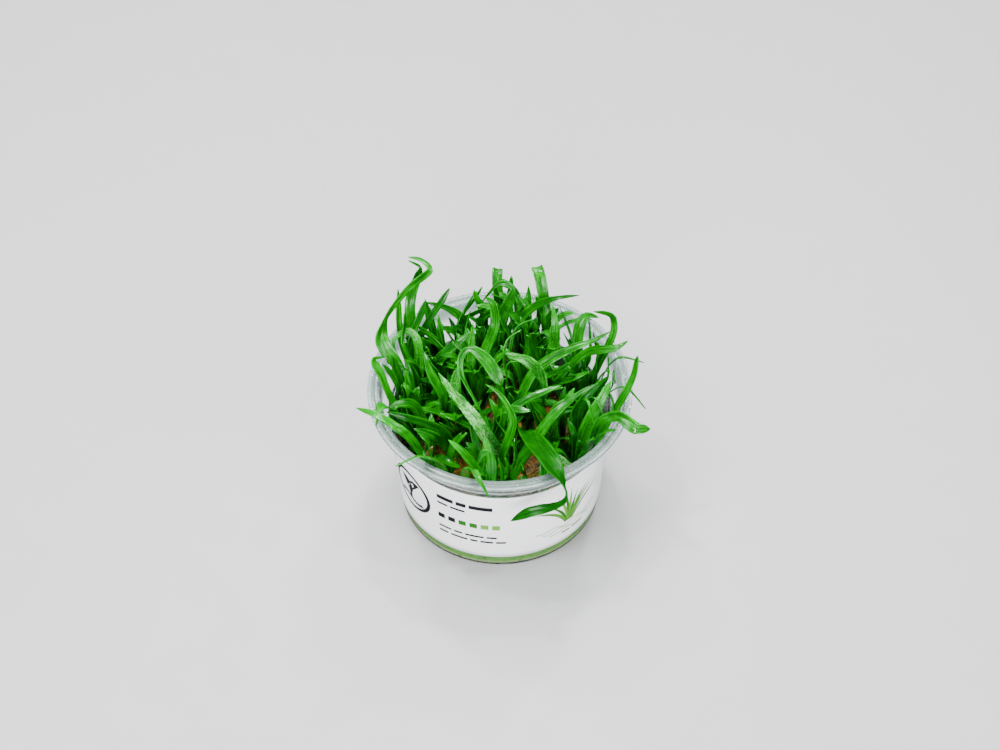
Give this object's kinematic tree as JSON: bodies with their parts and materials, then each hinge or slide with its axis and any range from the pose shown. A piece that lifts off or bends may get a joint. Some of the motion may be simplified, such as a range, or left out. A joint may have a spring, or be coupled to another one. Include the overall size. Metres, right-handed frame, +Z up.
{
  "type": "potted dwarf sagittaria",
  "caption": "Thicket of grassy strap-leaved water plants rooted in pale nutrient gel, grown in a clear round cup with a wide flange and a wrapped label; stands on its flat base.",
  "frame": {"origin": "centre of the cup's flat base, on the surface it stands on", "axes": "+Z up along the cup's axis; -Y is the front, where the longest leaf droops over the rim; +X is to the right seen from the front"},
  "size_m": [0.114, 0.1149, 0.0941],
  "materials": {
    "cup": "clear, slightly milky thin polypropylene",
    "label": null,
    "nutrient_gel": "cloudy pale green gel",
    "root_mat": "matted brown and tan roots, wet",
    "leaf": "wet glossy green leaf with fine parallel veins",
    "young_leaves": "wet glossy green leaves over a pale crown",
    "withered_leaf": "withered tan and brown leaf"
  },
  "bodies": {
    "root": {"cup": "cup", "label": "label", "nutrient_gel": "nutrient_gel", "plantlet_10_heart": "young_leaves", "plantlet_10_leaf_1": "leaf", "plantlet_10_leaf_2": "leaf", "plantlet_10_leaf_3": "leaf", "plantlet_11_heart": "young_leaves", "plantlet_11_leaf_1": "leaf", "plantlet_11_leaf_2": "leaf", "plantlet_12_heart": "young_leaves", "plantlet_12_leaf_1": "leaf", "plantlet_12_leaf_2": "leaf", "plantlet_13_heart": "young_leaves", "plantlet_13_leaf_1": "leaf", "plantlet_13_leaf_2": "leaf", "plantlet_13_leaf_3": "leaf", "plantlet_14_heart": "young_leaves", "plantlet_14_leaf_1": "leaf", "plantlet_1_heart": "young_leaves", "plantlet_1_leaf_1": "leaf", "plantlet_1_leaf_2": "leaf", "plantlet_1_leaf_3": "leaf", "plantlet_1_leaf_4": "leaf", "plantlet_2_heart": "young_leaves", "plantlet_2_leaf_1": "leaf", "plantlet_2_leaf_2": "leaf", "plantlet_2_leaf_3": "leaf", "plantlet_2_leaf_4": "leaf", "plantlet_2_leaf_5": "leaf", "plantlet_3_heart": "young_leaves", "plantlet_3_leaf_1": "leaf", "plantlet_4_heart": "young_leaves", "plantlet_4_leaf_1": "leaf", "plantlet_4_leaf_2": "leaf", "plantlet_4_leaf_3": "leaf", "plantlet_5_heart": "young_leaves", "plantlet_5_leaf_1": "leaf", "plantlet_5_leaf_2": "leaf", "plantlet_5_leaf_3": "leaf", "plantlet_6_heart": "young_leaves", "plantlet_6_leaf_1": "leaf", "plantlet_6_leaf_2": "leaf", "plantlet_6_leaf_3": "leaf", "plantlet_7_heart": "young_leaves", "plantlet_7_leaf_1": "leaf", "plantlet_7_leaf_2": "leaf", "plantlet_7_leaf_3": "leaf", "plantlet_7_leaf_4": "leaf", "plantlet_8_heart": "young_leaves", "plantlet_8_leaf_1": "leaf", "plantlet_8_leaf_2": "leaf", "plantlet_8_leaf_3": "leaf", "plantlet_9_heart": "young_leaves", "plantlet_9_leaf_1": "leaf", "plantlet_9_leaf_2": "leaf", "root_mat": "root_mat", "withered_leaf_1": "withered_leaf", "withered_leaf_2": "withered_leaf", "withered_leaf_3": "withered_leaf"}
  },
  "joints": []
}
